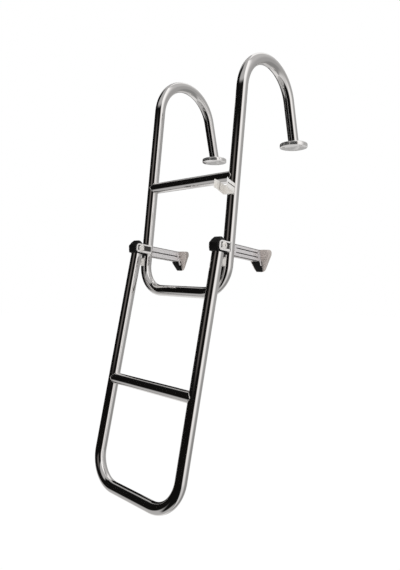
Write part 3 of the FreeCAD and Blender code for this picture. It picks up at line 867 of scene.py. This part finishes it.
def arm_mesh():
    """A channel open towards the ladder's middle, web at +x, cut to the rail and to the pad's slant."""
    w, h, t = ARM_WIDE / 2, ARM_HIGH / 2, ARM_SKIN
    lip = h - ARM_LIP
    corners = [
        (w, -h), (w, h), (-w, h), (-w, lip), (-w + t, lip), (-w + t, h - t),
        (w - t, h - t), (w - t, -h + t), (-w + t, -h + t), (-w + t, -lip), (-w, -lip), (-w, -h),
    ]
    near_ring = []
    far_ring = []
    for p in rounded(corners, ARM_RADII, inset=0.0, steps=5):
        near_ring.append(Vector((p.x, tube_face(p.x) - ARM_OVERLAP, p.y)))
        far_ring.append(Vector((p.x, ARM_REACH - (p.y - h) * END_SLOPE, p.y)))
    arm = skinned([near_ring, far_ring])
    rows = [(LINE_TAPER, w - LINE_DEEP), (0.0, w), (0.0, w + 1.0)]
    for rise in LINE_RISES:
        low, top = rise - LINE_HIGH / 2, rise + LINE_HIGH / 2
        line = rectangle(TUBE_R + LINE_START, low, TUBE_R + LINE_END, top)
        arm = cut_away(arm, layered(line, LINE_ROUND, rows, upright, steps=4))

    def on_painted_rim(spot):
        """On the rounded edges that run along the channel, where a dark reflection is painted."""
        return abs(spot.x) + abs(spot.z) > ARM_PAINTED_RIM

    def in_painted_shade(spot):
        """In the pressed lines, between the lips or on their backs, where shade is painted."""
        in_line = w - LINE_DEEP - SLACK < spot.x < w - SLACK and abs(spot.z) < LINE_FIELD
        in_lip_gap = spot.x < t - w and abs(spot.z) < LIP_GAP_HALF
        behind_lip = abs(spot.x - t + w) < FINE_SLACK
        return in_line or in_lip_gap or behind_lip

    # Painted dark reflection on the rounded edges.
    paint(arm, RIM_REFLECTION_SLOT, on_painted_rim)
    # Painted shade in the lines, the lip gap and behind the lips; it wins over the edges' painted
    # reflection.
    paint(arm, SHADED, in_painted_shade)
    return arm


# Pads at the arms' ends, with a wedge and two straps under each arm

PAD_WIDE = 26.0
PAD_HIGH = 44.0
PAD_SHOULDER = 10.0
PAD_TIP = 10.0
PAD_DEEP = 13.5
PAD_GAP = 0.1
SHIELD = [
    (-PAD_WIDE, 0), (-PAD_WIDE, -PAD_SHOULDER), (-PAD_TIP, -PAD_HIGH), (PAD_TIP, -PAD_HIGH),
    (PAD_WIDE, -PAD_SHOULDER), (PAD_WIDE, 0),
]
SHIELD_RADII = [6.0, 6.0, 11.0, 11.0, 6.0, 6.0]
BACKING_THICK = 2.5
BACKING_EDGE = 0.5
CUSHION_ROWS = [(0.5, 0.0), (0.1, 0.04), (0.0, 0.1), (0.0, 0.86), (0.3, 0.94), (1.2, 1.0)]
WEDGE_HALF = 7.5
WEDGE_EDGE = 1.0
WEDGE_START = -7.5
WEDGE_LOW = 18.5
WEDGE_NOSE = 2.0
WEDGE_RADII = [1.5, 0.8, 0.6, 0.3]
STRAP = [(-7.5, -5.0), (4.6, -31.0), (9.0, -31.0), (-3.0, -5.0)]
STRAP_THICK = 1.2
STRAP_EDGE = 0.4
STRAP_ROUND = 0.6


def front_line(setback, z):
    """The y of the slanted plane of a pad's front, or of one behind it."""
    return PAD_GAP + setback / math.cos(SLANT) - z * math.tan(SLANT)


def on_backing(x, z, depth):
    """Places an outline at a depth behind the front plane."""
    return Vector((x, front_line(depth, z), z))


def in_cushion(x, z, share):
    """Places an outline at a share of the way from the backing plate to the flat back."""
    near = front_line(BACKING_THICK, z)
    return Vector((x, near + (PAD_DEEP - near) * share, z))


def wedge_mesh():
    top, low = ARM_HIGH + PAD_GAP, ARM_HIGH + WEDGE_LOW
    corners = [
        (WEDGE_START, -top), (low * END_SLOPE - WEDGE_NOSE, -low), (low * END_SLOPE, -low),
        (top * END_SLOPE, -top),
    ]
    rows = edge_profile(2 * WEDGE_HALF, WEDGE_EDGE, start=-WEDGE_HALF)
    return layered(corners, WEDGE_RADII, rows, upright, steps=4)


def strap_pair():
    straps = []
    for towards in (1, -1):
        strap = layered(STRAP, STRAP_ROUND, edge_profile(STRAP_THICK, STRAP_EDGE), upright, steps=3)
        straps.append((handed(strap, towards), shift(towards * ARM_WIDE / 2)))
    return joined(*straps)


for side, hand in SIDES:
    # The second surface paints shade in the lines and behind the lips, the third a dark reflection on
    # the rounded edges.
    make_object(
        "arm_channel_" + hand, handed(arm_mesh(), side), UPPER_FRAME @ shift(side * HALF, 0, ARM_Z),
        (PLATE_STEEL, PAINTED_SHADE_STEEL, PAINTED_RIM_REFLECTION_STEEL), UPPER, FITTING_CREASE,
        ["stand_off_arm_" + hand])
    end_frame = UPPER_FRAME @ shift(side * HALF, ARM_REACH, ARM_Z + ARM_HIGH / 2)
    pad_frame = Matrix.Translation(end_frame.to_translation()) @ SCALE
    rows = edge_profile(BACKING_THICK, BACKING_EDGE)
    backing = layered(SHIELD, SHIELD_RADII, rows, on_backing, steps=8)
    make_object(
        "pad_backing_" + hand, backing, pad_frame, (PAD_STEEL,), UPPER, FITTING_CREASE,
        ["pad_plate_" + hand])
    cushion = layered(SHIELD, SHIELD_RADII, CUSHION_ROWS, in_cushion, steps=8)
    make_object(
        "pad_cushion_" + hand, cushion, pad_frame, (CUSHION,), UPPER, FITTING_CREASE,
        ["pad_rubber_" + hand])
    make_object(
        "arm_buffer_" + hand, wedge_mesh(), end_frame, (RUBBER,), UPPER, FITTING_CREASE,
        ["pad_wedge_" + hand])
    make_object(
        "arm_strap_" + hand, strap_pair(), end_frame, (PLATE_STEEL,), UPPER, FITTING_CREASE)

# Stops on the rails, where the lower section comes to rest

STOP_DROP = 27.0
STOP_GAP = 0.5
STOP_HALF_WIDE = 5.0
STOP_EDGE = 1.0
STOP_ROOT = 1.0
STOP_HIGH = 8.5
STOP_NOSE = 4.5
STOP_STAND = 1.5
STOP_RADII = [0.5, 0.5, 2.0, 2.0, 2.0, 2.0]


def stop_face(z):
    """Where the lower rail's surface is at a height on the stop, less the gap."""
    axis = PIN_Y + SETBACK * math.cos(SPLAY)
    return axis - (STOP_DROP - z) * math.tan(SPLAY) + (TUBE_R + STOP_GAP) / math.cos(SPLAY)


def stop_mesh():
    near, stand = -TUBE_R + STOP_ROOT, -TUBE_R - STOP_STAND
    corners = [
        (near, -STOP_HIGH), (near, STOP_HIGH), (stand, STOP_HIGH), (stop_face(STOP_NOSE), STOP_NOSE),
        (stop_face(-STOP_NOSE), -STOP_NOSE), (stand, -STOP_HIGH),
    ]
    rows = edge_profile(2 * STOP_HALF_WIDE, STOP_EDGE, start=-STOP_HALF_WIDE)
    return layered(corners, STOP_RADII, rows, upright, steps=4)


for side, hand in SIDES:
    make_object(
        "stop_lug_" + hand, stop_mesh(), UPPER_FRAME @ shift(side * HALF, 0, PIN_Z - STOP_DROP),
        (BOLT_STEEL,), UPPER, FITTING_CREASE, ["fold_stop_" + hand])

# Retaining clip on the right rail, with two moulded lines whose insides are painted dark as shade

CLIP_Z = 194.5
CLIP_JAW = 12.0
CLIP_SKIN = 1.5
CLIP_ROOT = -TUBE_R - 0.1
CLIP_NECK = CLIP_ROOT - 22.0
CLIP_TIP = CLIP_NECK - 5.0
CLIP_FLARE = 2.5
CLIP_RADII = [2.4, 3.0, 0.4, 0.4, 2.0, 0.8]
CLIP_LOW = (-11.5, -3.5)
CLIP_TOP = (5.5, 11.5)
CLIP_LINE_DEEP = 0.7
CLIP_LINE_ROUND = 0.3
CLIP_LINE_PAST = 1.5
CLIP_LONG_LINE = [
    (CLIP_ROOT - 1.5, -0.2), (CLIP_ROOT - 1.5, -1.8), (CLIP_TIP + 3.0, 2.6), (CLIP_TIP + 3.0, 4.2),
]
CLIP_CROSS_LINE = rectangle(CLIP_ROOT - 15.0, -6.0, CLIP_ROOT - 13.4, 8.5)


def clip_outline():
    outer = CLIP_JAW + CLIP_SKIN
    half = [
        (outer, CLIP_ROOT), (outer, CLIP_NECK), (outer + CLIP_FLARE, CLIP_TIP),
        (CLIP_JAW + CLIP_FLARE, CLIP_TIP), (CLIP_JAW, CLIP_NECK), (CLIP_JAW, CLIP_ROOT - CLIP_SKIN),
    ]
    plan = [(-x, y) for x, y in half] + half[::-1]
    return rounded(plan, CLIP_RADII + CLIP_RADII[::-1], inset=0.0, steps=5)


def cut_line(clip, line, face_x):
    """Cuts a line into the face at an x and gives it the second surface, a dark nylon that paints shade
    into the line.
    """
    floor_x = face_x - CLIP_LINE_DEEP
    rows = [(0.0, floor_x), (0.0, face_x + CLIP_LINE_PAST)]
    clip = cut_away(clip, layered(line, CLIP_LINE_ROUND, rows, upright, steps=2))
    first = min(y for y, z in line)
    last = max(y for y, z in line)

    def sunk(spot):
        return floor_x - FINE_SLACK < spot.x < face_x - FINE_SLACK and first < spot.y < last

    paint(clip, SHADED, sunk)
    return clip


def clip_mesh():
    """Two jaws on a common root. The low and top faces slope from the root to the jaws' tips."""
    outline = clip_outline()
    rings = []
    for at_root, at_tip in (CLIP_LOW, CLIP_TOP):
        ring = []
        for p in outline:
            share = (CLIP_ROOT - p.y) / (CLIP_ROOT - CLIP_TIP)
            ring.append(Vector((p.x, p.y, at_root + (at_tip - at_root) * share)))
        rings.append(ring)
    clip = skinned(rings)
    clip = cut_line(clip, CLIP_LONG_LINE, CLIP_JAW + CLIP_SKIN)
    return cut_line(clip, CLIP_CROSS_LINE, -CLIP_JAW)


make_object(
    "spring_clip", clip_mesh(), UPPER_FRAME @ shift(HALF, 0, CLIP_Z), (IVORY, CLIP_PAINTED_SHADE), UPPER,
    FITTING_CREASE, ["retaining_clip"])

# Camera at the photograph's angle, solved in the frame of the upper rails

CAMERA_SPOT = Vector((671.317, -673.472, -28.259))
YAW = math.radians(42.72)
PITCH = math.radians(2.668)
ROLL = math.radians(4.926)
FOCAL_SHARE = 477.06 / 570.0
SENSOR_HIGH = 24.0
SENSOR_WIDE = 36.0
VIEW_START = 0.01


def add_camera():
    """Adds the camera and returns its place."""
    forward = Vector((
        -math.sin(YAW) * math.cos(PITCH), math.cos(YAW) * math.cos(PITCH), math.sin(PITCH)))
    level = forward.cross(Z).normalized()
    upward = level.cross(forward)
    right = level * math.cos(ROLL) + upward * math.sin(ROLL)
    upward = upward * math.cos(ROLL) - level * math.sin(ROLL)
    lens = bpy.data.cameras.new("camera")
    lens.sensor_fit = "VERTICAL"
    lens.sensor_height = SENSOR_HIGH
    lens.sensor_width = SENSOR_WIDE
    lens.lens = SENSOR_HIGH * FOCAL_SHARE
    lens.clip_start = VIEW_START
    camera = bpy.data.objects.new("camera", lens)
    bpy.context.scene.collection.objects.link(camera)
    turn = Matrix((right, upward, -forward)).transposed()
    spot = UPPER_FRAME @ CAMERA_SPOT
    camera.matrix_world = Matrix.Translation(spot) @ (LEAN_MATRIX.to_3x3() @ turn).to_4x4()
    bpy.context.scene.camera = camera
    return spot


camera_spot = add_camera()

# Pale floor well under the ladder, in metres, seen by the camera as white

FLOOR_HALF = 6.0
FLOOR_ROUND = 3.0
FLOOR_DROP = 0.25
FLOOR_COLOUR = (0.9, 0.9, 0.9, 1)
FLOOR_LIFT = 1.035
FLOOR_LIFT_SHARE = 0.9
FLOOR_X = -0.1
FLOOR_Y = -0.1
WHITE = (1, 1, 1, 1)


def floor_material():
    material = bpy.data.materials.new("floor_pale")
    material.use_nodes = True
    nodes, links = material.node_tree.nodes, material.node_tree.links
    nodes.clear()
    output = nodes.new("ShaderNodeOutputMaterial")
    paper = nodes.new("ShaderNodeBsdfDiffuse")
    paper.inputs["Color"].default_value = FLOOR_COLOUR
    lift = nodes.new("ShaderNodeEmission")
    lift.inputs["Color"].default_value = WHITE
    lift.inputs["Strength"].default_value = FLOOR_LIFT
    weight = nodes.new("ShaderNodeMath")
    weight.operation = "MULTIPLY"
    weight.inputs[1].default_value = FLOOR_LIFT_SHARE
    links.new(nodes.new("ShaderNodeLightPath").outputs["Is Camera Ray"], weight.inputs[0])
    blend = nodes.new("ShaderNodeMixShader")
    links.new(weight.outputs[0], blend.inputs[0])
    links.new(paper.outputs[0], blend.inputs[1])
    links.new(lift.outputs[0], blend.inputs[2])
    links.new(blend.outputs[0], output.inputs["Surface"])
    return material


def add_floor():
    square = rectangle(-FLOOR_HALF, -FLOOR_HALF, FLOOR_HALF, FLOOR_HALF)
    outline = rounded(square, FLOOR_ROUND, inset=0.0, steps=12)
    bm = bmesh.new()
    bm.faces.new([bm.verts.new((p.x, p.y, 0.0)) for p in outline])
    mesh = bpy.data.meshes.new("floor")
    bm.to_mesh(mesh)
    bm.free()
    mesh.transform(shift(FLOOR_X, FLOOR_Y, CAD_BOX[0][2] - FLOOR_DROP))
    mesh.materials.append(floor_material())
    floor = bpy.data.objects.new("floor", mesh)
    bpy.context.scene.collection.objects.link(floor)
    floor.visible_glossy = False


add_floor()

# Studio around the ladder: a white backdrop for the camera, light and dark walls in the reflections.
# Bearings count from the photograph's camera, positive towards the right of the picture. Elevations
# count from the horizon. Both are in degrees. A pair is where a light starts and where it is full, or
# where it starts to fade and where it is gone.

BEARING_CENTRE = Vector((-0.1, -0.2))
IN_DEGREES = 180 / math.pi
SOFT_LIGHT = 0.95
BACKDROP_LIGHT = 1.0
DARK_LEVEL = 0.006
WALL_START = (14.0, 27.0)
WALL_FADE = (48.0, 84.0)
WALL_LEVEL = 0.41
WALL_GAIN = 0.62
WALL_HIGH = (12.0, 44.0)
WALL_HIGH_GAIN = 0.16
WALL_FOOT = (-26.0, -4.0)
WALL_FOOT_LEVEL = 0.7
WALL_FOOT_GAIN = 0.3
STREAK_BEARINGS = (-58.0, -30.0)
STREAK_SOFT = 8.0
STREAK_START = (6.0, 14.0)
STREAK_END = (24.0, 30.0)
STREAK_LEVEL = 0.15
CEILING_BEARINGS = (-78.0, 24.0)
CEILING_SOFT = 6.0
CEILING_START = (32.0, 44.0)
BACK_CEILING_START = (34.0, 44.0)
TOP_START = (60.0, 72.0)
TOP_FADE = (0.0, 40.0)
CEILING_LEVEL = 0.5
BACK_BEARINGS = (-140.0, 140.0)
BACK_SOFT = 8.0
GROUND_FADE = (-26.0, -14.0)
GROUND_SIDE = (-78.0, -62.0)
DEEP_GROUND_FADE = (-64.0, -50.0)
GROUND_EDGE = (0.0, 20.0)
GROUND_LEVEL = 0.5
BACK_FADE = (-18.0, -8.0)
BACK_LEVEL = 0.35
WARM = (1.0, 0.91, 0.86)
NEUTRAL = (1.0, 0.985, 0.975)
NEUTRAL_BEARINGS = (14.0, 34.0)
NEUTRAL_HIGH = (24.0, 32.0)
NEUTRAL_LOW = (-14.0, -4.0)

world = bpy.data.worlds.new("studio")
bpy.context.scene.world = world
world.use_nodes = True
sky = world.node_tree
sky.nodes.clear()


def math_node(operation, *sources):
    node = sky.nodes.new("ShaderNodeMath")
    node.operation = operation
    for socket, source in zip(node.inputs, sources):
        if isinstance(source, (int, float)):
            socket.default_value = source
        else:
            sky.links.new(source, socket)
    return node.outputs[0]


def rise(source, span):
    """Nought before a span and one after it, with a soft step between."""
    node = sky.nodes.new("ShaderNodeMapRange")
    node.interpolation_type = "SMOOTHSTEP"
    node.inputs["From Min"].default_value = span[0]
    node.inputs["From Max"].default_value = span[1]
    sky.links.new(source, node.inputs["Value"])
    return node.outputs["Result"]


def less(source):
    return math_node("SUBTRACT", 1.0, source)


def fade(source, span):
    """One before a span and nought after it, with a soft step between."""
    return less(rise(source, span))


def times(first, *others):
    for other in others:
        first = math_node("MULTIPLY", first, other)
    return first


def plus(first, *others):
    for other in others:
        first = math_node("ADD", first, other)
    return first


def brightest(first, *others):
    for other in others:
        first = math_node("MAXIMUM", first, other)
    return first


def band(source, span, soft):
    """One inside a span, nought outside it."""
    low, high = span
    return times(rise(source, (low - soft, low + soft)), fade(source, (high - soft, high + soft)))


def backdrop(colour, strength):
    node = sky.nodes.new("ShaderNodeBackground")
    if isinstance(colour, tuple):
        node.inputs["Color"].default_value = colour
    else:
        sky.links.new(colour, node.inputs["Color"])
    if isinstance(strength, float):
        node.inputs["Strength"].default_value = strength
    else:
        sky.links.new(strength, node.inputs["Strength"])
    return node.outputs[0]


def choose(rays, otherwise, then):
    """One backdrop for a kind of ray, another for the rest."""
    node = sky.nodes.new("ShaderNodeMixShader")
    for socket, source in zip(node.inputs, (rays, otherwise, then)):
        sky.links.new(source, socket)
    return node.outputs[0]


split = sky.nodes.new("ShaderNodeSeparateXYZ")
sky.links.new(sky.nodes.new("ShaderNodeTexCoord").outputs["Generated"], split.inputs[0])
photo_bearing = math.atan2(camera_spot.y - BEARING_CENTRE.y, camera_spot.x - BEARING_CENTRE.x)
bearing = math_node("ARCTAN2", split.outputs["Y"], split.outputs["X"])
bearing = math_node("SUBTRACT", bearing, photo_bearing)
bearing = math_node("WRAP", bearing, math.pi, -math.pi)
bearing = times(bearing, IN_DEGREES)
elevation = times(math_node("ARCSINE", split.outputs["Z"]), IN_DEGREES)

wall = plus(
    WALL_LEVEL,
    times(fade(bearing, WALL_FADE), WALL_GAIN),
    times(rise(elevation, WALL_HIGH), WALL_HIGH_GAIN))
wall_foot = plus(WALL_FOOT_LEVEL, times(rise(elevation, WALL_FOOT), WALL_FOOT_GAIN))
wall = times(wall, wall_foot, rise(bearing, WALL_START))
streak = times(
    band(bearing, STREAK_BEARINGS, STREAK_SOFT), rise(elevation, STREAK_START),
    fade(elevation, STREAK_END), STREAK_LEVEL)
behind = less(band(bearing, BACK_BEARINGS, BACK_SOFT))
ceiling = brightest(
    times(band(bearing, CEILING_BEARINGS, CEILING_SOFT), rise(elevation, CEILING_START), CEILING_LEVEL),
    times(behind, rise(elevation, BACK_CEILING_START), CEILING_LEVEL),
    times(rise(elevation, TOP_START), fade(bearing, TOP_FADE), CEILING_LEVEL))
ground = brightest(
    times(fade(elevation, GROUND_FADE), fade(bearing, GROUND_SIDE)),
    fade(elevation, DEEP_GROUND_FADE))
ground = times(ground, fade(bearing, GROUND_EDGE), GROUND_LEVEL)
back_wall = times(behind, fade(elevation, BACK_FADE), BACK_LEVEL)
glow = plus(wall, streak, ceiling, ground, back_wall, DARK_LEVEL)

neutral = brightest(
    rise(bearing, NEUTRAL_BEARINGS), rise(elevation, NEUTRAL_HIGH), fade(elevation, NEUTRAL_LOW))
tint = mix_colours(sky, neutral, WARM, NEUTRAL)
rays = sky.nodes.new("ShaderNodeLightPath")
lit = choose(rays.outputs["Is Glossy Ray"], backdrop(WHITE, SOFT_LIGHT), backdrop(tint, glow))
lit = choose(rays.outputs["Is Camera Ray"], lit, backdrop(WHITE, BACKDROP_LIGHT))
output = sky.nodes.new("ShaderNodeOutputWorld")
sky.links.new(lit, output.inputs["Surface"])

bpy.context.scene.view_settings.view_transform = "Standard"
